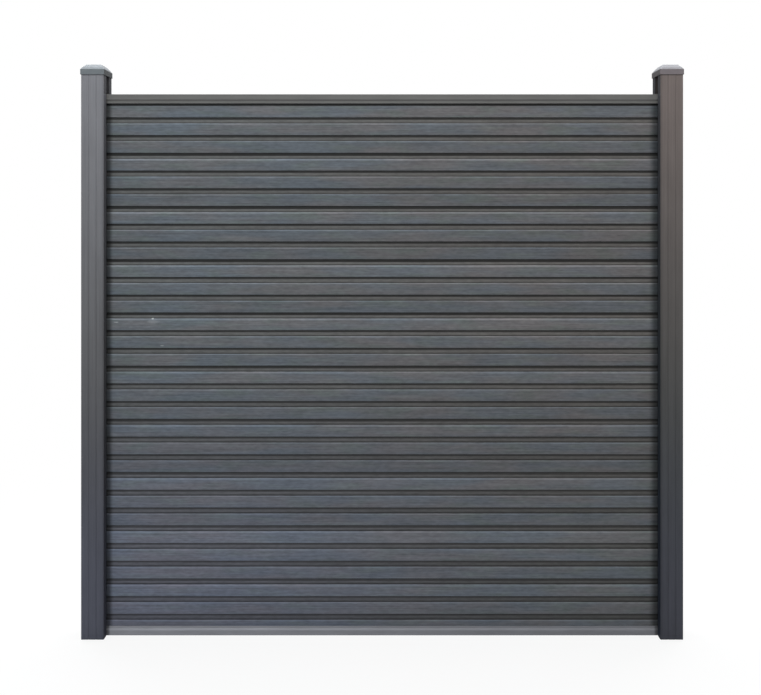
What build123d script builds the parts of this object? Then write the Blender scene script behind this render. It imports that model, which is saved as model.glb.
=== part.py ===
from build123d import *
import math
import os

# Garden screen: ribbed composite boards stacked between two slotted posts.
# Millimetres, +Z up, +X along the screen, front towards -Y, origin on the ground at mid width.

# Screen
clear_width = 1830.0       # between the inner faces of the posts
board_count = 10
post_rise = 61.0           # bare post between the top rail and the cap's lower edge

# Posts: chambered H sections with a slot on both sides
post_side = 75.0
post_corner_radius = 2.5
post_wall = 6.0            # outer walls and the walls beside the slots' mouths
web_wall = 5.0             # walls of the square core and the ribs in line with them
slot_width = 24.0
slot_depth = 20.0
slot_mouth_radius = 1.5
line_spacing = 25.0        # between the two lines cut down the front face, and down the back
line_width = 4.0
line_depth = 1.0

# Boards: three hollow ribs on each face, joined by a thin web
ribs_per_board = 3
rib_height = 38.5
groove_height = 20.5
rib_depth = 5.0
rib_fall = 1.2             # slope of a rib's upper flank, so that rain runs off
rib_arris_radius = 1.2
board_web = 5.0
board_wall = 3.5
tongue_height = 7.0
tongue_lead = 1.0          # chamfer along the tongue's top edges
tongue_clearance = 0.3     # each side of the tongue in the next board's groove

# Rails: one stepped channel section, open upwards at the bottom and downwards at the top
rail_height = 30.0
rail_base = 10.0           # closed box under the channel's floor, the floor included
rail_wall = 1.4
rail_lip = 7.0
rail_slope_rise = 6.0
rail_edge_radius = 1.0
rail_slot_clearance = 0.3  # each side of a rail in a post's slot
rail_grip_clearance = 0.3  # each side of a board between a rail's lips
slot_end_clearance = 2.0   # from a board's or rail's end to the slot's floor

# Caps: hollow mouldings that slip over the posts
cap_overhang = 2.0
cap_clearance = 0.5        # each side of the post inside the cap
cap_skirt = 17.0           # straight outer band
cap_engagement = 15.0      # how far the post goes up inside the cap
cap_shoulder_rise = 7.0
cap_shoulder_run = 5.0
cap_slope_rise = 11.0
cap_slope_run = 10.0
cap_top_wall = 2.5
cap_seat = 7.0             # width of the ledge that bears on the post's top
cap_corner_radius = 4.0
cap_edge_radius = 1.5      # where the band, the shoulder, the slope and the flat top meet

# Sizes that follow from those above
rib_pitch = rib_height + groove_height
board_cover = ribs_per_board * rib_pitch
board_thickness = board_web + 2 * rib_depth
infill_length = clear_width + 2 * (slot_depth - slot_end_clearance)
first_board_z = rail_base
stack_top = first_board_z + board_count * board_cover + tongue_height
panel_height = stack_top + rail_base
post_x = (clear_width + post_side) / 2
post_length = panel_height + post_rise + cap_engagement


def mirrored_outline(half_points):
    """Closed face from the points of its +X half, listed from the bottom to the top."""
    other_half = [(-x, y) for x, y in reversed(half_points)]
    return make_face(Polyline(*half_points, *other_half, close=True))


def corners_at(face, half_width, low, high):
    """Corners of a section on the lines x = +half_width and x = -half_width, between two heights."""
    tolerance = 1e-4
    return [
        v for v in face.vertices()
        if abs(abs(v.X) - half_width) < tolerance and low - tolerance < v.Y < high + tolerance
    ]


def along_x(section, length):
    """Extrude a section, drawn with its width across and its height up, along the screen."""
    return extrude(Plane.YZ * section, amount=length / 2, both=True)


def post():
    """Slotted post with a square core, standing on its foot."""
    flange = (post_side - slot_width) / 2
    core_width = post_side - 2 * slot_depth - 2 * web_wall
    chamber_depth = flange - 2 * post_wall
    chamber_y = slot_width / 2 + post_wall + chamber_depth / 2
    inner_x = core_width / 2 + web_wall
    corner_width = post_side / 2 - post_wall - inner_x
    corner_x = inner_x + corner_width / 2

    section = RectangleRounded(post_side, post_side, post_corner_radius)
    slot_x = (post_side - slot_depth) / 2
    for side in (-1, 1):
        section -= Pos(side * slot_x, 0) * Rectangle(slot_depth, slot_width)
    mouths = corners_at(section, post_side / 2, -slot_width / 2, slot_width / 2)
    section = fillet(mouths, slot_mouth_radius)

    section -= Rectangle(core_width, slot_width)
    for face in (-1, 1):
        section -= Pos(0, face * chamber_y) * Rectangle(core_width, chamber_depth)
        for side in (-1, 1):
            section -= Pos(side * corner_x, face * chamber_y) * Rectangle(corner_width, chamber_depth)
            line_x = side * line_spacing / 2
            section -= make_face(Polyline(
                (line_x - line_width / 2, face * post_side / 2),
                (line_x, face * (post_side / 2 - line_depth)),
                (line_x + line_width / 2, face * post_side / 2),
                close=True,
            ))
    return extrude(section, amount=post_length)


def cap():
    """Hollow post cap with a stepped hip, its skirt's lower edge at z = 0."""
    outer = post_side + 2 * cap_overhang
    shoulder = outer - 2 * cap_shoulder_run
    plateau = shoulder - 2 * cap_slope_run
    shoulder_z = cap_skirt + cap_shoulder_rise
    top_z = shoulder_z + cap_slope_rise

    profile = mirrored_outline([
        (outer / 2, 0),
        (outer / 2, cap_skirt),
        (shoulder / 2, shoulder_z),
        (plateau / 2, top_z),
    ])
    breaks = [v for v in profile.vertices() if v.Y > cap_skirt / 2]
    profile = fillet(breaks, cap_edge_radius)
    one_way = along_x(profile, outer)
    body = one_way & (Rot(0, 0, 90) * one_way)
    body &= extrude(RectangleRounded(outer, outer, cap_corner_radius), amount=top_z)

    socket = post_side + 2 * cap_clearance
    body -= extrude(Rectangle(socket, socket), amount=cap_engagement)
    void = socket - 2 * cap_seat
    void_top = plateau - 2 * cap_top_wall
    void_rise = top_z - cap_top_wall - cap_engagement
    void_taper = math.degrees(math.atan2((void - void_top) / 2, void_rise))
    return body - extrude(Pos(0, 0, cap_engagement) * Rectangle(void, void), amount=void_rise, taper=void_taper)


def board():
    """Castellated board with a tongue above and a groove below, its lower edge at z = 0."""
    face_x = board_thickness / 2
    web_x = board_web / 2
    groove_x = web_x + tongue_clearance
    tongue_top = board_cover + tongue_height

    outline = [(groove_x, tongue_height), (groove_x, 0)]
    for rib in range(ribs_per_board):
        low = rib * rib_pitch
        high = low + rib_height
        if rib > 0:
            outline.append((web_x, low))
        outline += [(face_x, low), (face_x, high), (web_x, high + rib_fall)]
    outline += [(web_x, tongue_top - tongue_lead), (web_x - tongue_lead, tongue_top)]

    section = mirrored_outline(outline)
    section = fillet(corners_at(section, face_x, 0, board_cover), rib_arris_radius)

    chamber_width = board_thickness - 2 * board_wall
    for rib in range(ribs_per_board):
        floor = tongue_height if rib == 0 else 0
        low = rib * rib_pitch + floor + board_wall
        high = rib * rib_pitch + rib_height - board_wall
        section -= Pos(0, (low + high) / 2) * Rectangle(chamber_width, high - low)
    return along_x(section, infill_length)


def rail():
    """Stepped channel standing on its closed box, with the channel's lips at the top."""
    body_x = slot_width / 2 - rail_slot_clearance
    lip_in = board_thickness / 2 + rail_grip_clearance
    lip_out = lip_in + rail_wall
    slope_run = body_x - lip_out
    slope_low = rail_height - rail_lip - rail_slope_rise
    slope_high = slope_low + rail_slope_rise
    # The inner slope is set down so that the sloping wall is as thick as the upright ones
    slope_length = math.hypot(slope_run, rail_slope_rise)
    slope_drop = rail_wall * (slope_length - rail_slope_rise) / slope_run

    section = mirrored_outline([
        (body_x, 0),
        (body_x, slope_low),
        (lip_out, slope_high),
        (lip_out, rail_height),
    ])
    section = fillet(corners_at(section, body_x, 0, 0), rail_edge_radius)
    section -= mirrored_outline([
        (body_x - rail_wall, rail_base),
        (body_x - rail_wall, slope_low - slope_drop),
        (lip_in, slope_high - slope_drop),
        (lip_in, rail_height),
    ])
    box_height = rail_base - 2 * rail_wall
    section -= Pos(0, rail_base / 2) * Rectangle(2 * (body_x - rail_wall), box_height)
    return along_x(section, infill_length)


def write(node, solid):
    export_step(solid, f"parts/{node}.step")


os.makedirs("parts", exist_ok=True)

for side_name, side in (("left", -1), ("right", 1)):
    write(f"{side_name}_post", Pos(side * post_x, 0, 0) * post())
    write(f"{side_name}_post_cap", Pos(side * post_x, 0, post_length - cap_engagement) * cap())

write("bottom_rail", rail())
write("top_rail", Pos(0, 0, panel_height) * Rot(180, 0, 0) * rail())

for number in range(1, board_count + 1):
    board_z = first_board_z + (board_count - number) * board_cover
    write(f"board_{number:02d}", Pos(0, 0, board_z) * board())
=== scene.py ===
import math
from collections import namedtuple

import bmesh
import bpy
from bpy.props import FloatProperty, FloatVectorProperty, IntProperty, PointerProperty
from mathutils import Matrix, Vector


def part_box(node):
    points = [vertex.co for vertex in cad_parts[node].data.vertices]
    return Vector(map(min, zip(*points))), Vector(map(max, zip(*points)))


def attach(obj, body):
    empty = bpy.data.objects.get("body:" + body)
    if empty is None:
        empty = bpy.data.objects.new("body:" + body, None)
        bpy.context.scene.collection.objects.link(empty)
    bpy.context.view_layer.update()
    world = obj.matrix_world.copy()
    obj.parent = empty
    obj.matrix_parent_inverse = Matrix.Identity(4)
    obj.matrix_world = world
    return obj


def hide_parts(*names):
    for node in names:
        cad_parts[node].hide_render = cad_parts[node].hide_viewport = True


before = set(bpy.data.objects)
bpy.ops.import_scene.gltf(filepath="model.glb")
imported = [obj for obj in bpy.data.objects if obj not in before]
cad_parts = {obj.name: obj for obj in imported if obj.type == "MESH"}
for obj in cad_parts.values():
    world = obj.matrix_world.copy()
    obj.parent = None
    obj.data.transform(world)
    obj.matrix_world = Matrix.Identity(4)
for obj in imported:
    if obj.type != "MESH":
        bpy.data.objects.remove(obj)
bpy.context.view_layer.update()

bl_info = {
    "name": "Garden screen finishes",
    "version": (1, 0, 0),
    "blender": (4, 5, 0),
    "location": "View3D > Sidebar > Garden screen",
    "description": "Finishes a composite garden screen, moulds its post caps and sets its studio",
    "category": "Object",
}

MILLIMETRE = 0.001
WHITE = (1.0, 1.0, 1.0, 1.0)

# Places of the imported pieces, in metres
BOARDS = sorted(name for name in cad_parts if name.startswith("board_"))
LOWEST_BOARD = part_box(BOARDS[-1])
BOARD_BASE = LOWEST_BOARD[0].z
BOARD_FACE = LOWEST_BOARD[1].y
BOARD_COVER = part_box(BOARDS[-2])[0].z - BOARD_BASE
RIGHT_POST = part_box("right_post")
POST_X = (RIGHT_POST[0].x + RIGHT_POST[1].x) / 2
POST_HALF = (RIGHT_POST[1].x - RIGHT_POST[0].x) / 2
POST_FACE = RIGHT_POST[1].y
INNER_X = RIGHT_POST[0].x
PANEL_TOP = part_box("top_rail")[1].z
CAP_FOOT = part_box("left_post_cap")[0].z

# A smooth change of a finish, from one level at a low value to another at a high one
Ramp = namedtuple("Ramp", "low high start end", defaults=(0.0, 1.0))

# Changes of the boards with height above the ground: at the foot, in the worn and painted highlight of the
# arrises, and in the painted shade of the grooves
FOOT = Ramp(0.0, 1.0, 1.0, 0.0)
ARRIS_WEAR_AND_HIGHLIGHT = Ramp(0.2, 1.2, 0.55, 1.0)
GROOVE_SHADE = Ramp(0.1, 1.2, 0.62, 1.0)
GROOVE_FOOT_SHADE = Ramp(0.1, 1.3, 0.25, 0.0)

# Heights between which the boards are darkest, and over which that fades above and below
MIDDLE_LOW = 0.55
MIDDLE_HIGH = 1.1
MIDDLE_SOFT = 0.35

# Changes up one board: past the groove under its top rib, and lighter from rib to rib
TOP_RIB = Ramp(BOARD_COVER * 0.60, BOARD_COVER * 0.66)
RIB_LEVEL = Ramp(BOARD_COVER * 0.15, BOARD_COVER * 0.85, 0.86, 1.0)

# Levels of a noise between which a patch of another pigment sets in, and over which the share of the caps'
# painted sheen changes
WARM_PATCH = Ramp(0.36, 0.64)
GREEN_PATCH = Ramp(0.45, 0.72, 0.0, 0.7)
CAP_SHEEN = Ramp(0.3, 0.75, 0.40, 0.46)

# Painted light and shade by the way a surface faces: painted sheen upwards and painted shade towards the
# panel on the caps, a painted highlight upwards and painted shade downwards on the rails
CAP_UPPER = Ramp(0.2, 0.9)
CAP_INNER = Ramp(0.4, 0.9)
RAIL_UNDERSIDE = Ramp(-0.4, 0.0, 0.66, 1.0)
RAIL_HIGHLIGHT = Ramp(0.05, 0.4, 1.0, 1.25)

# Share of plain white that the camera sees in the floor, by the distance from the middle of the foot
FLOOR_WHITE = Ramp(1.0, 2.4, 0.85, 1.0)


class Graph:
    """Short calls that build the nodes of one material."""

    # Sockets of a mix node that hold colours
    first_colour = 6
    second_colour = 7
    mixed_colour = 2

    def __init__(self, name):
        self.material = bpy.data.materials.new(name)
        self.material.use_nodes = True
        self.tree = self.material.node_tree
        self.shader = self.tree.nodes["Principled BSDF"]
        self.place = self.node("ShaderNodeTexCoord").outputs["Object"]
        split = self.node("ShaderNodeSeparateXYZ")
        self.put(self.place, split.inputs[0])
        self.x, self.y, self.z = split.outputs

    def node(self, kind, **settings):
        node = self.tree.nodes.new(kind)
        for key, value in settings.items():
            setattr(node, key, value)
        return node

    def put(self, value, socket):
        """Link an output to a socket, or set a plain value on it."""
        if isinstance(value, bpy.types.NodeSocket):
            self.tree.links.new(value, socket)
        else:
            socket.default_value = value

    def math(self, operation, *values):
        node = self.node("ShaderNodeMath", operation=operation)
        for value, socket in zip(values, node.inputs):
            self.put(value, socket)
        return node.outputs[0]

    def times(self, first, *others):
        """Product of several values."""
        for other in others:
            first = self.math("MULTIPLY", first, other)
        return first

    def opposite(self, mask):
        """One where a mask is nothing, and nothing where it is full."""
        return self.math("SUBTRACT", 1.0, mask)

    def lowered(self, mask, share):
        """Brightness that is lower by a share where a mask is full."""
        return self.opposite(self.times(mask, share))

    def step(self, value, low, high, start=0.0, end=1.0):
        """Smooth change from start to end while a value goes from low to high."""
        node = self.node("ShaderNodeMapRange", interpolation_type="SMOOTHSTEP")
        for setting, socket in zip((value, low, high, start, end), node.inputs):
            self.put(setting, socket)
        return node.outputs["Result"]

    def nearing(self, value, limit, far, near, start=0.0, end=1.0):
        """Smooth change from start to end while a value comes from far to near below a limit."""
        return self.step(value, limit - far, limit - near, start, end)

    def band(self, value, low, high, soft):
        """One between two limits, fading to nothing over a soft edge outside them."""
        rise = self.step(value, low - soft, low)
        fall = self.step(value, high, high + soft, 1.0, 0.0)
        return self.times(rise, fall)

    def noise(self, per_metre, detail=2.0, offset=(0.0, 0.0, 0.0)):
        """Noise with its own number of blotches to the metre along each axis."""
        mapping = self.node("ShaderNodeMapping")
        self.put(self.place, mapping.inputs["Vector"])
        self.put(offset, mapping.inputs["Location"])
        self.put(per_metre, mapping.inputs["Scale"])
        noise = self.node("ShaderNodeTexNoise")
        self.put(mapping.outputs[0], noise.inputs["Vector"])
        self.put(1.0, noise.inputs["Scale"])
        self.put(detail, noise.inputs["Detail"])
        return noise.outputs["Fac"]

    def tone(self, level, layers):
        """Brightness from a level and noises laid over it, each with its strength."""
        total = level - sum(strength for _, strength in layers) / 2
        for layer, strength in layers:
            total = self.math("MULTIPLY_ADD", layer, strength, total)
        return total

    def mix(self, factor, first, second, blend="MIX"):
        node = self.node("ShaderNodeMix", data_type="RGBA", blend_type=blend)
        self.put(factor, node.inputs["Factor"])
        self.put(first, node.inputs[self.first_colour])
        self.put(second, node.inputs[self.second_colour])
        return node.outputs[self.mixed_colour]

    def shaded(self, colour, shade):
        """Colour multiplied by a brightness or by another colour."""
        return self.mix(1.0, colour, shade, "MULTIPLY")

    def facing(self, axis):
        """How far the surface faces along an axis, from -1 to 1."""
        split = self.node("ShaderNodeSeparateXYZ")
        self.put(self.node("ShaderNodeNewGeometry").outputs["Normal"], split.inputs[0])
        return split.outputs[axis]

    def bump(self, height, strength, distance):
        node = self.node("ShaderNodeBump")
        self.put(strength, node.inputs["Strength"])
        self.put(distance, node.inputs["Distance"])
        self.put(height, node.inputs["Height"])
        self.put(node.outputs[0], self.shader.inputs["Normal"])

    def finish(self, colour, roughness, specular):
        self.put(colour, self.shader.inputs["Base Color"])
        self.put(roughness, self.shader.inputs["Roughness"])
        self.put(specular, self.shader.inputs["Specular IOR Level"])
        return self.material


def opaque(colour):
    """A colour setting as the four numbers of a socket."""
    return (*colour, 1.0)


def dress(node, material):
    """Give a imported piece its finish."""
    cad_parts[node].material_slots[0].material = material


def distance_from_post(g):
    """Distance of a shaded point from the inner side of the nearer post."""
    return g.math("SUBTRACT", INNER_X, g.math("ABSOLUTE", g.x))


def way_to_right(g):
    """Nothing at the left post, rising to one at the right post."""
    return g.step(g.x, -INNER_X, INNER_X)


def background_ray(tree):
    """One for rays that show the studio itself: from the camera, off a gloss or through glass."""
    ray = tree.nodes.new("ShaderNodeLightPath")
    seen = ray.outputs["Is Camera Ray"]
    for kind in ("Is Glossy Ray", "Is Transmission Ray"):
        either = tree.nodes.new("ShaderNodeMath")
        either.operation = "MAXIMUM"
        tree.links.new(seen, either.inputs[0])
        tree.links.new(ray.outputs[kind], either.inputs[1])
        seen = either.outputs[0]
    return seen


def colour_setting(name, description, default):
    return FloatVectorProperty(
        name=name, description=description, subtype="COLOR", size=3, min=0.0, max=1.0, default=default,
    )


def length_setting(name, description, default):
    return FloatProperty(
        name=name, description=description, unit="LENGTH", min=0.0001, default=default,
    )


def share_setting(name, description, default):
    return FloatProperty(
        name=name, description=description, subtype="FACTOR", min=0.0, max=1.0, default=default,
    )


def angle_setting(name, description, default):
    return FloatProperty(
        name=name, description=description, subtype="ANGLE", default=default,
    )


def power_setting(name, description, default):
    return FloatProperty(
        name=name, description=description, unit="POWER", min=0.0, default=default,
    )


class BoardSettings(bpy.types.PropertyGroup):
    cool_colour: colour_setting(
        "Cool patches", "Patches with more blue pigment", (0.099, 0.115, 0.136))
    warm_colour: colour_setting(
        "Warm patches", "Patches with more wood flour", (0.115, 0.116, 0.125))
    green_colour: colour_setting(
        "Green patches", "Patches with a trace of green", (0.102, 0.122, 0.121))
    groove_colour: colour_setting(
        "Groove", "Unbrushed floors of the grooves", (0.111, 0.112, 0.112))
    # A bluish tint over the lowest boards, strongest at the left
    foot_blue_colour: colour_setting(
        "Bloom", "Bluish bloom over the lowest boards", (0.100, 0.105, 0.200))
    bloom: share_setting("Bloom share", "How thick the bloom is at the left foot", 0.27)
    # Painted warm light towards the right, less of it at the foot
    right_warm_light: colour_setting(
        "Right tint", "Warmer tint of the boards towards the right", (0.975, 0.895, 0.85))
    foot_cooling: share_setting("Foot cooling", "How much of that tint is lost at the foot", 0.75)
    # Painted shade at the right foot, over the whole boards and more in their grooves
    right_foot_shade: share_setting("Foot fade", "How much darker the boards are at the right foot", 0.19)
    damp: share_setting("Damp", "How much darker their grooves are there on top of that", 0.25)
    rib_height: length_setting(
        "Rib height", "Flat of a rib from its lower to its upper edge", 0.0385)
    ribs: IntProperty(name="Ribs", description="Ribs on one board", default=3, min=1)
    web_half: length_setting(
        "Half web", "Half the thickness of the board in a groove", 0.0025)
    streak: FloatProperty(
        name="Streaks", description="Contrast of the brushed streaks", default=1.0, min=0.0, max=2.0)
    batch_share: share_setting("Batch", "How much the boards differ in tone", 0.06)
    batch_turn: angle_setting("Batch turn", "Step of the tone's wave from one board to the next", 1.45)
    batch_start: angle_setting("Batch start", "Start of the tone's wave at the lowest board", 0.13)
    middle_darkening: share_setting("Middle fade", "How much darker the boards are at mid height", 0.08)
    # Upper arrises pale where worn and with a painted highlight
    wear_and_highlight: share_setting("Wear", "How much lighter the upper arrises are", 0.68)
    wear_and_highlight_width: length_setting("Wear width", "How far the pale arris reaches down a rib", 0.003)
    # Soiling and painted shade in the corners above the ledges
    dirt: share_setting("Dirt", "How dark the dirt in the corners above the ledges is", 0.40)
    # Painted shade in the grooves, under the ribs and at the joints
    grime: share_setting("Grime", "How dark the grooves are under the ribs", 0.80)
    joint_grime: share_setting("Joint grime", "How dark the grooves are under the joints", 0.88)
    end_shade: share_setting("End shade", "How dark the boards are where they enter the posts", 0.71)
    end_width: length_setting("End width", "How far that shade reaches along the boards", 0.022)
    right_reach: length_setting("Right reach", "How much further it reaches at the right post", 0.008)
    rail_shade: share_setting("Rail shade", "How dark the top board is under its rail", 0.78)
    roughness: share_setting("Roughness", "Roughness of the brushed faces", 0.62)


class PostSettings(bpy.types.PropertyGroup):
    # The top colours are painted sheen, paler up each post; the right post's colours are darker and warmer
    # than the left's as painted light and shade; the foot colours are a bluish tint
    left_foot: colour_setting("Left foot", "Bluish bloom on the left post's foot", (0.069, 0.071, 0.091))
    left_plain: colour_setting("Left post", "Composite of the left post", (0.065, 0.064, 0.066))
    left_top: colour_setting("Left top", "Left post's composite if quite bleached", (0.226, 0.224, 0.243))
    left_curve: FloatProperty(
        name="Left curve", description="How late the left post pales", default=1.6, min=0.1)
    # Side tints are painted shade, bluish on the right post
    left_side: colour_setting("Left side", "Tint of the left post beside the boards", (0.97, 0.98, 1.0))
    right_foot: colour_setting("Right foot", "Bluish bloom on the right post's foot", (0.047, 0.048, 0.059))
    right_plain: colour_setting("Right post", "Composite of the right post", (0.047, 0.050, 0.050))
    right_top: colour_setting("Right top", "Right post's composite if quite bleached", (0.182, 0.148, 0.140))
    right_curve: FloatProperty(
        name="Right curve", description="How late the right post pales", default=1.95, min=0.1)
    right_side: colour_setting("Right side", "Tint of the right post beside the boards", (0.72, 0.86, 1.0))
    # Heights of the bluish tint on the posts' feet
    foot_blue_start: length_setting("Bloom start", "Height up to which the bloom on the feet is full", 0.1)
    foot_blue_end: length_setting("Bloom end", "Height at which the bloom on the feet ends", 1.0)
    # Heights over which the painted sheen pales the posts
    sheen_start: length_setting("Bleach start", "Height at which the posts start to pale", 0.2)
    sheen_end: length_setting("Bleach end", "Height at which they would be quite pale", 2.0)
    line_spacing: length_setting("Line spacing", "Between the two lines cut down a face", 0.025)
    line_width: length_setting("Line width", "Width of a line cut down a face", 0.004)
    # Painted shade in the two lines cut down each face
    line_grime: share_setting("Line grime", "How dark the two lines are", 0.12)
    slot_half: length_setting("Half slot", "Half the width of the slots", 0.012)
    # Painted shade on the sides beside the boards and above the top rail, near the faces' inner edges and in
    # the slots
    side_grime: share_setting("Side grime", "How dark the sides are beside the boards", 0.22)
    bare_grime: share_setting("Bare grime", "How dark the same sides are above the top rail", 0.60)
    edge_grime: share_setting("Edge grime", "How dark the faces are near their inner edges", 0.20)
    slot_grime: share_setting("Slot grime", "How dark the insides of the slots are", 0.55)
    cap_shade: share_setting("Cap shade", "How dark the posts are right under their caps", 0.45)
    roughness: share_setting("Roughness", "Roughness of the drawn faces", 0.58)


class CapSettings(bpy.types.PropertyGroup):
    # Painted sheen on the upper faces
    sheen_colour: colour_setting("Dust", "Pale dust on the upper faces", (0.62, 0.65, 0.70))
    left_colour: colour_setting("Left cap", "Moulded plastic of the left cap", (0.154, 0.168, 0.180))
    right_colour: colour_setting("Right cap", "Moulded plastic of the right cap", (0.172, 0.150, 0.158))
    # Painted shade on the sides towards the panel
    side_grime: share_setting("Side grime", "How dark the sides towards the panel are", 0.66)
    roughness: share_setting("Roughness", "Roughness of the moulded plastic", 0.34)
    band: length_setting("Band", "Height of the straight band", 0.017)
    shoulder_rise: length_setting("Shoulder rise", "Rise of the steep shoulder", 0.007)
    shoulder_run: length_setting("Shoulder run", "Run of the steep shoulder", 0.005)
    slope_rise: length_setting("Slope rise", "Rise of the upper slope", 0.011)
    slope_run: length_setting("Slope run", "Run of the upper slope", 0.010)
    edge: length_setting("Rounding", "Rounding of the moulded edges", 0.0012)
    wall: length_setting("Wall", "Thickness of the band's wall", 0.0015)
    socket_depth: length_setting("Socket", "How far the post goes up inside", 0.015)
    seat: length_setting("Seat", "Width of the ledge that bears on the post", 0.007)
    void_run: length_setting("Void run", "Run of the hollow's walls above the seat", 0.009)
    void_rise: length_setting("Void rise", "Height of the hollow above the seat", 0.0175)


class RailSettings(bpy.types.PropertyGroup):
    # One powder coat on both rails: the top rail's colour darkened as painted shade, the bottom rail's
    # lightened as painted light
    shaded_top_colour: colour_setting("Top rail", "Powder coat of the top rail", (0.106, 0.103, 0.100))
    lit_bottom_colour: colour_setting(
        "Bottom rail", "Dusty powder coat of the bottom rail", (0.204, 0.205, 0.226))
    end_shade: share_setting("End shade", "How dark the bottom rail is where it enters the posts", 0.65)
    end_width: length_setting("End width", "How far that shade reaches along the rail", 0.014)
    # Painted shade towards the right
    right_shade: share_setting("Right fade", "How much duller the bottom rail is at the right", 0.33)
    roughness: share_setting("Roughness", "Roughness of the powder coat", 0.42)


class StageSettings(bpy.types.PropertyGroup):
    floor_colour: colour_setting("Floor", "Studio floor", (0.86, 0.86, 0.86))
    ambient_colour: colour_setting("Ambient tint", "Tint of the light from all round", (0.92, 0.97, 1.0))
    key_power: power_setting("Key", "Power of the cool lamp, high on the left", 352.0)
    fill_power: power_setting("Fill", "Power of the warm lamp, high on the right", 192.0)
    low_power: power_setting("Low fill", "Power of the cool lamp, low on the left", 52.0)
    back_power: power_setting("Back", "Power of each lamp behind the screen", 60.0)
    overhead_power: power_setting("Overhead", "Power of the softbox above the screen", 690.0)
    ambient: share_setting("Ambient", "Light from all round the studio", 0.12)
    camera_height: length_setting("Camera height", "Height of the lens above the floor", 1.379)
    camera_distance: length_setting("Camera distance", "From the lens to the front of the posts", 2.51)
    lens: FloatProperty(
        name="Lens", description="Focal length on a 36 mm frame", subtype="DISTANCE_CAMERA",
        default=36.13, min=1.0)


# Pale scuffs on the front of the boards: middle, half length and half height, and how pale they are
Scuff = namedtuple("Scuff", "x z half_length half_height share")
SCUFFS = (
    Scuff(-0.763, 1.0512, 0.0045, 0.0030, 1.0),
    Scuff(-0.762, 1.0415, 0.0250, 0.0075, 0.11),
    Scuff(-0.884, 1.0395, 0.0090, 0.0030, 0.30),
    Scuff(-0.731, 0.9615, 0.0090, 0.0024, 0.22),
)
SCUFF_COLOUR = (0.55, 0.57, 0.58)


class BoardPlace:
    """Where a shaded point lies on its board."""

    # Keeps the underside of a rib on its own rib when heights are wrapped
    wrap_margin = 0.05 * MILLIMETRE
    # Margin of the masks about the middle of a rib's flank and under its face
    soft = 0.5 * MILLIMETRE
    # How far the web's own finish reaches up from the web, and how far under the face it ends
    web_skin = 0.4 * MILLIMETRE
    face_skin = 1.0 * MILLIMETRE

    def __init__(self, g, settings):
        self.pitch = BOARD_COVER / settings.ribs
        self.rib_top = settings.rib_height
        self.up_board = self.wrapped(g, BOARD_COVER)
        self.up_rib = self.wrapped(g, self.pitch)
        out = g.math("ABSOLUTE", g.y)
        middle = (settings.web_half + BOARD_FACE) / 2
        self.on_face = g.step(out, middle - self.soft, BOARD_FACE - self.soft)
        self.on_web = g.step(out, settings.web_half + self.web_skin, BOARD_FACE - self.face_skin, 1.0, 0.0)
        self.outer = g.step(out, middle - self.soft, middle + self.soft)
        self.inner = g.opposite(self.outer)
        self.on_top_rib = g.step(self.up_board, *TOP_RIB)
        self.from_post = distance_from_post(g)
        self.foot = g.step(g.z, *FOOT)
        self.right = way_to_right(g)

    def wrapped(self, g, height):
        """Height above the lowest board's foot, starting again at each multiple of a given height."""
        above = g.math("SUBTRACT", g.z, BOARD_BASE - self.wrap_margin)
        return g.math("SUBTRACT", g.math("FLOORED_MODULO", above, height), self.wrap_margin)


def worn_and_lit_arris(g, at, settings, covered):
    """Brightness of the upper arrises, pale where worn and with a painted highlight, broader on a board's top
    rib and none under the top rail.
    """
    extra = 2.0 * MILLIMETRE
    soft = 0.7 * MILLIMETRE
    flank_end = at.rib_top + 1.0 * MILLIMETRE
    flank_soft = 0.4 * MILLIMETRE
    low = g.math("MULTIPLY_ADD", at.on_top_rib, -extra, at.rib_top - settings.wear_and_highlight_width)
    rise = g.step(at.up_rib, g.math("SUBTRACT", low, soft), low)
    fall = g.step(at.up_rib, flank_end, flank_end + flank_soft, 1.0, 0.0)
    rubbed = g.noise((14.0, 10.0, 40.0), detail=3.0, offset=(5.5, 0.0, 2.0))
    patchy = g.tone(1.0, ((rubbed, 0.9),))
    amount = g.times(rise, fall, at.outer, patchy, settings.wear_and_highlight, g.step(g.z, *ARRIS_WEAR_AND_HIGHLIGHT))
    if covered:
        amount = g.times(amount, g.opposite(at.on_top_rib))
    return g.math("ADD", amount, 1.0)


def corner_dirt_and_shade(g, at, settings):
    """Brightness lowered by soiling and painted shade in the corner above each ledge."""
    low = at.rib_top - 0.2 * MILLIMETRE
    high = at.rib_top + 3.2 * MILLIMETRE
    corner = g.band(at.up_rib, low, high, soft=0.8 * MILLIMETRE)
    return g.lowered(g.times(corner, at.inner), settings.dirt)


def groove_shade(g, at, settings):
    """Brightness of the grooves, with painted shade: dark under each rib, darker at the joints, darker
    towards the foot and more so at the right foot.
    """
    under = g.nearing(at.up_rib, at.pitch, far=9.0 * MILLIMETRE, near=7.0 * MILLIMETRE)
    joint = g.nearing(at.up_board, BOARD_COVER, far=11.5 * MILLIMETRE, near=9.0 * MILLIMETRE)
    darkest = g.math("MAXIMUM", g.times(under, settings.grime), g.times(joint, settings.joint_grime))
    darkest = g.times(darkest, g.step(g.z, *GROOVE_SHADE))
    shadowed = g.step(g.z, *GROOVE_FOOT_SHADE)
    # Painted shade in the grooves at the right foot
    damp = g.times(at.foot, at.right, settings.damp)
    return g.times(*(g.lowered(at.on_web, share) for share in (darkest, shadowed, damp)))


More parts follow.
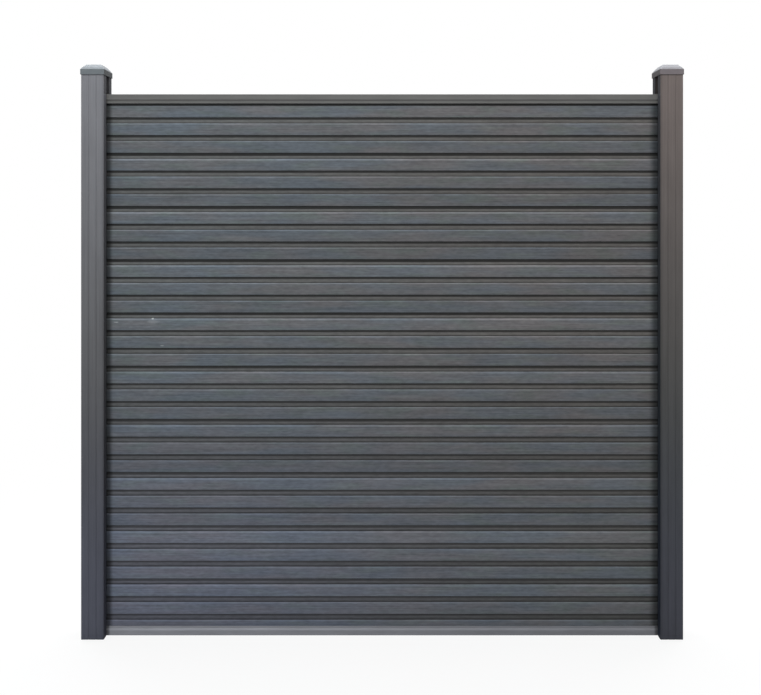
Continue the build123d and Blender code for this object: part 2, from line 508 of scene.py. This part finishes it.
def scuffed(g, colour):
    """Colour with the few pale scuffs of the front laid over it."""
    chips = g.noise((260.0, 40.0, 420.0), detail=3.0, offset=(0.7, 0.0, 3.0))
    broken = g.tone(0.0, ((chips, 1.0),))
    full_share = 0.4
    front = g.math("LESS_THAN", g.y, 0.0)
    for scuff in SCUFFS:
        along = g.math("DIVIDE", g.math("SUBTRACT", g.x, scuff.x), scuff.half_length)
        up = g.math("DIVIDE", g.math("SUBTRACT", g.z, scuff.z), scuff.half_height)
        away = g.math("SQRT", g.math("MULTIPLY_ADD", along, along, g.times(up, up)))
        ragged = g.math("ADD", away, broken)
        amount = g.times(g.step(ragged, full_share, 1.0, 1.0, 0.0), front, scuff.share)
        colour = g.mix(amount, colour, opaque(SCUFF_COLOUR))
    return colour


def board_finish(name, settings, covered):
    """Brushed wood-plastic with lengthwise streaks, worn arrises with painted highlights, painted shade in
    grooves and at ends, painted warm light to the right; covered is under the top rail.
    """
    g = Graph(name)
    at = BoardPlace(g, settings)
    fine = g.noise((9.0, 60.0, 900.0), detail=5.0)
    broad = g.noise((3.5, 20.0, 210.0), detail=3.0, offset=(3.1, 0.0, 7.7))
    blotch = g.noise((8.0, 10.0, 26.0), detail=3.0, offset=(1.7, 4.0, 0.3))
    speck = g.noise((45.0, 90.0, 160.0), offset=(0.4, 6.0, 2.2))
    grain = g.noise((70.0, 300.0, 2600.0))
    warm = g.step(g.noise((2.8, 5.0, 18.0), offset=(8.3, 2.0, 5.1)), *WARM_PATCH)
    green = g.step(g.noise((7.0, 5.0, 34.0), offset=(2.3, 9.0, 1.1)), *GREEN_PATCH)

    colour = g.mix(warm, opaque(settings.cool_colour), opaque(settings.warm_colour))
    colour = g.mix(green, colour, opaque(settings.green_colour))
    colour = g.mix(at.on_face, opaque(settings.groove_colour), colour)
    # Bluish tint at the left foot
    bloom = g.times(at.foot, g.opposite(at.right), settings.bloom)
    colour = g.mix(bloom, colour, opaque(settings.foot_blue_colour))
    end_reach = g.math("MULTIPLY_ADD", at.right, settings.right_reach, settings.end_width)
    past_end = g.step(at.from_post, 0.0, end_reach)
    # Painted warm light towards the right, away from the boards' ends
    warmed = g.times(at.right, g.lowered(at.foot, settings.foot_cooling), past_end)
    colour = g.shaded(colour, g.mix(warmed, WHITE, opaque(settings.right_warm_light)))

    streak = settings.streak
    brushed = g.tone(1.0, (
        (fine, 0.5 * streak),
        (broad, 0.7 * streak),
        (blotch, 0.3 * streak),
        (speck, 0.6 * streak),
        (grain, 0.5 * streak),
    ))
    rib_level = g.step(at.up_board, *RIB_LEVEL)
    number = g.math("FLOOR", g.math("DIVIDE", g.math("SUBTRACT", g.z, BOARD_BASE), BOARD_COVER))
    wave = g.math("SINE", g.math("MULTIPLY_ADD", number, settings.batch_turn, settings.batch_start))
    batch = g.math("MULTIPLY_ADD", wave, settings.batch_share, 1.0)
    darkest_end = 6.0 * MILLIMETRE
    ends = g.step(at.from_post, darkest_end, end_reach, 1.0 - settings.end_shade, 1.0)
    # Painted shade at the right foot
    shaded_to_right = g.lowered(g.times(at.foot, at.right), settings.right_foot_shade)
    middle = g.lowered(g.band(g.z, MIDDLE_LOW, MIDDLE_HIGH, MIDDLE_SOFT), settings.middle_darkening)
    shade = g.times(
        brushed, rib_level, batch, ends, shaded_to_right, middle,
        worn_and_lit_arris(g, at, settings, covered), corner_dirt_and_shade(g, at, settings), groove_shade(g, at, settings),
    )
    if covered:
        under_rail = g.nearing(at.up_board, BOARD_COVER, far=23.0 * MILLIMETRE, near=20.0 * MILLIMETRE)
        shade = g.times(shade, g.lowered(under_rail, settings.rail_shade))
    colour = scuffed(g, g.shaded(colour, shade))

    relief = g.tone(0.5, ((fine, 0.6), (broad, 0.4), (grain, 0.5)))
    g.bump(relief, strength=0.45, distance=0.4 * MILLIMETRE)
    roughness = g.tone(settings.roughness, ((broad, 0.25), (grain, 0.15)))
    return g.finish(colour, roughness, specular=0.2)


# What differs between the two posts: the foot's bluish tint, the plain colour, the top colour of the painted
# sheen and how late it sets in, and the painted shade tint of the side
PostLook = namedtuple("PostLook", "foot plain top curve side")


def post_finish(name, side, look, settings):
    """Matt composite with streaks drawn up it, a bluish tint at the foot, a painted sheen above, and painted
    shade beside the boards, in the slots and lines and near the inner edges.
    """
    g = Graph(name)
    centre_x = side * POST_X
    across = g.math("SUBTRACT", g.x, centre_x)
    inward = g.times(across, -side)
    out = g.math("ABSOLUTE", g.y)
    fine = g.noise((620.0, 620.0, 5.0), detail=5.0, offset=(centre_x, 0.0, 0.0))
    broad = g.noise((150.0, 150.0, 2.2), offset=(centre_x, 3.0, 0.0))
    blotch = g.noise((22.0, 22.0, 9.0), detail=3.0, offset=(centre_x, 5.0, 1.0))
    grain = g.noise((2200.0, 2200.0, 40.0))

    # Painted sheen, paler towards the top
    height = settings.sheen_end - settings.sheen_start
    risen = g.math("DIVIDE", g.math("SUBTRACT", g.z, settings.sheen_start), height)
    sheened = g.math("POWER", g.math("MAXIMUM", risen, 0.0), look.curve)
    colour = g.mix(sheened, opaque(look.plain), opaque(look.top))
    # Bluish tint at the foot
    bloom = g.step(g.z, settings.foot_blue_start, settings.foot_blue_end, 1.0, 0.0)
    colour = g.mix(bloom, colour, opaque(look.foot))
    streaks = g.tone(1.0, ((fine, 0.3), (broad, 0.26), (blotch, 0.2), (grain, 0.2)))

    half_line = settings.line_width / 2
    line_core = half_line * 0.35
    line_end = half_line * 1.1
    off_line = g.math("SUBTRACT", g.math("ABSOLUTE", across), settings.line_spacing / 2)
    near_line = g.step(g.math("ABSOLUTE", off_line), line_core, line_end, 1.0, 0.0)
    on_face = g.nearing(out, POST_FACE, far=2.0 * MILLIMETRE, near=1.1 * MILLIMETRE)
    # Painted shade in the lines cut down the face
    line = g.lowered(g.times(near_line, on_face), settings.line_grime)
    under_cap = g.nearing(g.z, CAP_FOOT, far=5.0 * MILLIMETRE, near=2.0 * MILLIMETRE)
    capped = g.lowered(under_cap, settings.cap_shade)

    # Painted shade on the side beside the boards, tinted, and inside the slots
    beside_panel = g.nearing(inward, POST_HALF, far=2.0 * MILLIMETRE, near=1.0 * MILLIMETRE)
    round_corner = g.nearing(
        out, POST_FACE, far=2.5 * MILLIMETRE, near=1.0 * MILLIMETRE, start=1.0, end=0.0)
    on_side = g.times(beside_panel, round_corner)
    side_level = g.nearing(
        g.z, PANEL_TOP, far=3.0 * MILLIMETRE, near=0.0, start=settings.side_grime, end=settings.bare_grime)
    colour = g.mix(on_side, colour, g.shaded(colour, opaque(look.side)))
    slot_start = settings.slot_half + 0.3 * MILLIMETRE
    slot_soft = 0.5 * MILLIMETRE
    in_slot = g.step(out, slot_start, slot_start + slot_soft, 1.0, 0.0)
    side_and_slot_shade = g.times(g.lowered(on_side, side_level), g.lowered(in_slot, settings.slot_grime))
    # Painted shade near the face's inner edge
    near_edge = g.nearing(inward, POST_HALF, far=11.0 * MILLIMETRE, near=2.0 * MILLIMETRE)
    edge = g.lowered(near_edge, settings.edge_grime)
    colour = g.shaded(colour, g.times(streaks, line, side_and_slot_shade, capped, edge))

    relief = g.tone(0.5, ((fine, 0.7), (grain, 0.3)))
    g.bump(relief, strength=0.3, distance=0.3 * MILLIMETRE)
    roughness = g.tone(settings.roughness, ((broad, 0.2), (grain, 0.1)))
    return g.finish(colour, roughness, specular=0.05)


def cap_finish(name, side, colour, settings):
    """Moulded satin plastic with a fine grain, a painted sheen on its upper faces and painted shade on its
    sides towards the panel.
    """
    g = Graph(name)
    pebble = g.noise((1500.0, 1500.0, 1500.0))
    cloud = g.noise((45.0, 45.0, 45.0), detail=3.0)
    # Painted sheen on the upper faces
    upper_highlight = g.times(g.step(g.facing("Z"), *CAP_UPPER), g.step(cloud, *CAP_SHEEN))
    tone = g.tone(1.0, ((pebble, 0.1), (cloud, 0.16)))
    # Painted shade on the sides towards the panel
    inward = g.times(g.facing("X"), -side)
    shadowed = g.lowered(g.step(inward, *CAP_INNER), settings.side_grime)
    plastic = g.shaded(opaque(colour), g.times(tone, shadowed))
    highlighted = g.mix(upper_highlight, plastic, opaque(settings.sheen_colour))
    g.bump(pebble, strength=0.2, distance=0.12 * MILLIMETRE)
    roughness = g.tone(settings.roughness, ((cloud, 0.14), (pebble, 0.08)))
    return g.finish(highlighted, roughness, specular=0.06)


def rail_finish(name, colour, end_shade, right_shade, settings):
    """Satin powder coat with a slight orange peel, a painted highlight on top and painted shade below, at its
    ends and to the right.
    """
    g = Graph(name)
    peel = g.noise((700.0, 700.0, 700.0))
    drawn = g.noise((4.0, 120.0, 260.0), detail=3.0)
    dust = g.noise((14.0, 40.0, 60.0), detail=3.0)
    # Painted shade on the undersides and a painted highlight on the upper faces
    upward = g.facing("Z")
    facing = g.step(upward, *RAIL_UNDERSIDE)
    upper_highlight = g.step(upward, *RAIL_HIGHLIGHT)
    darkest_end = settings.end_width / 3
    ends = g.step(distance_from_post(g), darkest_end, settings.end_width, 1.0 - end_shade, 1.0)
    # Painted shade towards the right
    shaded_to_right = g.lowered(way_to_right(g), right_shade)
    tone = g.tone(1.0, ((drawn, 0.3), (dust, 0.3), (peel, 0.1)))
    coat = g.shaded(opaque(colour), g.times(tone, facing, upper_highlight, ends, shaded_to_right))
    g.bump(peel, strength=0.2, distance=0.2 * MILLIMETRE)
    roughness = g.tone(settings.roughness, ((dust, 0.25), (peel, 0.1)))
    return g.finish(coat, roughness, specular=0.3)


class GARDEN_SCREEN_OT_finish_boards(bpy.types.Operator):
    """Give each ribbed board its brushed finish"""

    bl_idname = "garden_screen.finish_boards"
    bl_label = "Finish boards"

    def execute(self, context):
        settings = context.scene.garden_screen_boards
        open_finish = board_finish("brushed_board", settings, False)
        covered_finish = board_finish("brushed_top_board", settings, True)
        for node in BOARDS:
            dress(node, covered_finish if node == BOARDS[0] else open_finish)
        return {"FINISHED"}


class GARDEN_SCREEN_OT_finish_posts(bpy.types.Operator):
    """Give the two slotted posts their drawn finish"""

    bl_idname = "garden_screen.finish_posts"
    bl_label = "Finish posts"

    def execute(self, context):
        settings = context.scene.garden_screen_posts
        for name, side in (("left", -1), ("right", 1)):
            look = PostLook(*(getattr(settings, f"{name}_{part}") for part in PostLook._fields))
            dress(f"{name}_post", post_finish(f"drawn_{name}_post", side, look, settings))
        return {"FINISHED"}


class GARDEN_SCREEN_OT_model_caps(bpy.types.Operator):
    """Mould the two post caps with soft hips and a socket underneath"""

    bl_idname = "garden_screen.model_caps"
    bl_label = "Model caps"

    edge_segments = 4

    def execute(self, context):
        settings = context.scene.garden_screen_caps
        sides = (("left", -1, settings.left_colour), ("right", 1, settings.right_colour))
        for name, side, colour in sides:
            node = f"{name}_post_cap"
            cap = self.mould(context, f"{name}_moulded_cap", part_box(node), settings)
            cap.data.materials.append(cap_finish(f"moulded_{name}_cap", side, colour, settings))
            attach(cap, "root")
            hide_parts(node)
        return {"FINISHED"}

    def step_in(self, shape, face, run, rise):
        """Draw a face in from its edges and raise it."""
        shape.normal_update()
        bmesh.ops.inset_region(shape, faces=[face], thickness=run, use_even_offset=True)
        bmesh.ops.translate(shape, vec=(0.0, 0.0, rise), verts=face.verts)

    def mould(self, context, name, box, settings):
        """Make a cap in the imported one's box: a stepped hip, hollow from below, with rounded edges."""
        low, high = box
        width = high.x - low.x
        shape = bmesh.new()
        bmesh.ops.create_cube(shape, size=1.0)
        bmesh.ops.scale(shape, vec=(width, width, settings.band), verts=shape.verts)
        middle = Vector(((low.x + high.x) / 2, (low.y + high.y) / 2, low.z + settings.band / 2))
        bmesh.ops.translate(shape, vec=middle, verts=shape.verts)

        top = max(shape.faces, key=lambda face: face.calc_center_median().z)
        self.step_in(shape, top, settings.shoulder_run, settings.shoulder_rise)
        self.step_in(shape, top, settings.slope_run, settings.slope_rise)
        moulded = [edge for edge in shape.edges if max(v.co.z for v in edge.verts) > low.z + MILLIMETRE]

        under = min(shape.faces, key=lambda face: face.calc_center_median().z)
        self.step_in(shape, under, settings.wall, 0.0)
        ceiling = bmesh.ops.extrude_discrete_faces(shape, faces=[under])["faces"][0]
        bmesh.ops.translate(shape, vec=(0.0, 0.0, settings.socket_depth), verts=ceiling.verts)
        self.step_in(shape, ceiling, settings.seat, 0.0)
        self.step_in(shape, ceiling, settings.void_run, settings.void_rise)

        bmesh.ops.bevel(
            shape, geom=moulded, offset=settings.edge, offset_type="OFFSET", affect="EDGES",
            segments=self.edge_segments, profile=0.5, material=-1, clamp_overlap=True,
        )
        bmesh.ops.recalc_face_normals(shape, faces=shape.faces)

        mesh = bpy.data.meshes.new(name)
        shape.to_mesh(mesh)
        shape.free()
        mesh.shade_smooth()
        cap = bpy.data.objects.new(name, mesh)
        context.collection.objects.link(cap)
        weighted = cap.modifiers.new("Even shading", "WEIGHTED_NORMAL")
        weighted.keep_sharp = True
        return cap


class GARDEN_SCREEN_OT_finish_rails(bpy.types.Operator):
    """Give the top and bottom rails their powder coat"""

    bl_idname = "garden_screen.finish_rails"
    bl_label = "Finish rails"

    def execute(self, context):
        settings = context.scene.garden_screen_rails
        top = rail_finish(
            "satin_top_rail", settings.shaded_top_colour, end_shade=0.0, right_shade=0.0, settings=settings)
        bottom = rail_finish(
            "satin_bottom_rail", settings.lit_bottom_colour, settings.end_shade, settings.right_shade, settings)
        dress("top_rail", top)
        dress("bottom_rail", bottom)
        return {"FINISHED"}


# Lamps of the studio, each with the setting that holds its power
Lamp = namedtuple("Lamp", "name power place aim size colour")
LAMPS = (
    Lamp("key_lamp", "key_power", (-0.8, -7.2, 7.4), (0.0, 0.0, 1.0), (5.2, 2.8), (0.90, 0.98, 1.0)),
    Lamp("fill_lamp", "fill_power", (0.8, -7.2, 7.0), (0.0, 0.0, 1.0), (4.0, 2.8), (1.0, 0.90, 0.80)),
    Lamp("low_lamp", "low_power", (-1.6, -6.8, 0.9), (-0.3, 0.0, 0.4), (3.2, 1.6), (0.76, 0.90, 1.0)),
    Lamp("left_back_lamp", "back_power", (-4.5, 3.0, 2.6), (0.0, 0.0, 1.0), (2.4, 2.0), (0.96, 0.98, 1.0)),
    Lamp("right_back_lamp", "back_power", (4.5, 3.0, 2.6), (0.0, 0.0, 1.0), (2.4, 2.0), (1.0, 0.97, 0.93)),
    Lamp("overhead_lamp", "overhead_power", (0.0, 1.2, 8.0), (0.0, 0.6, 0.0), (8.0, 4.4), (0.96, 0.98, 1.0)),
)


class GARDEN_SCREEN_OT_set_stage(bpy.types.Operator):
    """Lay the floor, hang the lamps and place the camera"""

    bl_idname = "garden_screen.set_stage"
    bl_label = "Set stage"

    # Image size, and the places of the horizon and of the screen's middle in it, in pixels
    image_width = 761
    image_height = 695
    horizon_row = 220.1
    middle_column = 382.1

    # Sensor in millimetres and half the side of the floor in metres
    sensor_width = 36.0
    level_view = math.radians(90.0)
    floor_reach = 30.0
    floor_roughness = 0.9

    def execute(self, context):
        settings = context.scene.garden_screen_stage
        self.lay_floor(context, settings)
        self.light_world(context, settings)
        for lamp in LAMPS:
            self.hang_lamp(context, lamp, getattr(settings, lamp.power))
        self.place_camera(context, settings)
        context.scene.view_settings.view_transform = "Standard"
        return {"FINISHED"}

    def lay_floor(self, context, settings):
        shape = bmesh.new()
        bmesh.ops.create_grid(shape, x_segments=1, y_segments=1, size=self.floor_reach)
        mesh = bpy.data.meshes.new("studio_floor")
        shape.to_mesh(mesh)
        shape.free()
        floor = bpy.data.objects.new("studio_floor", mesh)
        context.collection.objects.link(floor)

        g = Graph("studio_floor")
        away = g.node("ShaderNodeVectorMath", operation="LENGTH")
        g.put(g.place, away.inputs[0])
        white_share = g.step(away.outputs["Value"], *FLOOR_WHITE)
        white = g.node("ShaderNodeEmission")
        g.put(1.0, white.inputs["Strength"])
        blend = g.node("ShaderNodeMixShader")
        g.put(g.times(background_ray(g.tree), white_share), blend.inputs[0])
        g.put(g.shader.outputs[0], blend.inputs[1])
        g.put(white.outputs[0], blend.inputs[2])
        g.put(blend.outputs[0], g.tree.nodes["Material Output"].inputs["Surface"])
        g.finish(opaque(settings.floor_colour), self.floor_roughness, specular=0.0)
        mesh.materials.append(g.material)

    def light_world(self, context, settings):
        world = bpy.data.worlds.new("studio")
        context.scene.world = world
        world.use_nodes = True
        tree = world.node_tree
        even = tree.nodes["Background"]
        even.inputs["Color"].default_value = opaque(settings.ambient_colour)
        even.inputs["Strength"].default_value = settings.ambient
        white = tree.nodes.new("ShaderNodeBackground")
        white.inputs["Color"].default_value = WHITE
        white.inputs["Strength"].default_value = 1.0
        blend = tree.nodes.new("ShaderNodeMixShader")
        tree.links.new(background_ray(tree), blend.inputs[0])
        tree.links.new(even.outputs[0], blend.inputs[1])
        tree.links.new(white.outputs[0], blend.inputs[2])
        tree.links.new(blend.outputs[0], tree.nodes["World Output"].inputs["Surface"])

    def hang_lamp(self, context, lamp, power):
        light = bpy.data.lights.new(lamp.name, "AREA")
        light.shape = "RECTANGLE"
        light.size, light.size_y = lamp.size
        light.energy = power
        light.color = lamp.colour
        stand = bpy.data.objects.new(lamp.name, light)
        stand.location = lamp.place
        towards = Vector(lamp.aim) - Vector(lamp.place)
        stand.rotation_euler = towards.to_track_quat("-Z", "Y").to_euler()
        context.collection.objects.link(stand)

    def place_camera(self, context, settings):
        lens = bpy.data.cameras.new("front_camera")
        lens.sensor_fit = "HORIZONTAL"
        lens.sensor_width = self.sensor_width
        lens.lens = settings.lens
        lens.shift_x = (self.image_width / 2 - self.middle_column) / self.image_width
        lens.shift_y = (self.horizon_row - self.image_height / 2) / self.image_width
        camera = bpy.data.objects.new("front_camera", lens)
        camera.location = (0.0, -POST_FACE - settings.camera_distance, settings.camera_height)
        camera.rotation_euler = (self.level_view, 0.0, 0.0)
        context.collection.objects.link(camera)
        context.scene.camera = camera


class GARDEN_SCREEN_PT_panel(bpy.types.Panel):
    """Settings of the garden screen, each group with its operator"""

    bl_idname = "GARDEN_SCREEN_PT_panel"
    bl_label = "Garden screen"
    bl_space_type = "VIEW_3D"
    bl_region_type = "UI"
    bl_category = "Garden screen"

    def draw(self, context):
        for step in STEPS:
            box = self.layout.box()
            settings = getattr(context.scene, step.kept_as)
            for name in step.settings.__annotations__:
                box.prop(settings, name)
            box.operator(step.operator.bl_idname)


# Steps of the work: the operator, its group of settings, and the name under which a scene keeps that group
Step = namedtuple("Step", "operator settings kept_as")
STEPS = (
    Step(GARDEN_SCREEN_OT_finish_boards, BoardSettings, "garden_screen_boards"),
    Step(GARDEN_SCREEN_OT_finish_posts, PostSettings, "garden_screen_posts"),
    Step(GARDEN_SCREEN_OT_model_caps, CapSettings, "garden_screen_caps"),
    Step(GARDEN_SCREEN_OT_finish_rails, RailSettings, "garden_screen_rails"),
    Step(GARDEN_SCREEN_OT_set_stage, StageSettings, "garden_screen_stage"),
)


def register():
    for step in STEPS:
        bpy.utils.register_class(step.settings)
        setattr(bpy.types.Scene, step.kept_as, PointerProperty(type=step.settings))
        bpy.utils.register_class(step.operator)
    bpy.utils.register_class(GARDEN_SCREEN_PT_panel)


def unregister():
    bpy.utils.unregister_class(GARDEN_SCREEN_PT_panel)
    for step in reversed(STEPS):
        bpy.utils.unregister_class(step.operator)
        delattr(bpy.types.Scene, step.kept_as)
        bpy.utils.unregister_class(step.settings)


def main():
    register()
    bpy.ops.garden_screen.finish_boards()
    bpy.ops.garden_screen.finish_posts()
    bpy.ops.garden_screen.model_caps()
    bpy.ops.garden_screen.finish_rails()
    bpy.ops.garden_screen.set_stage()


if __name__ == "__main__":
    main()
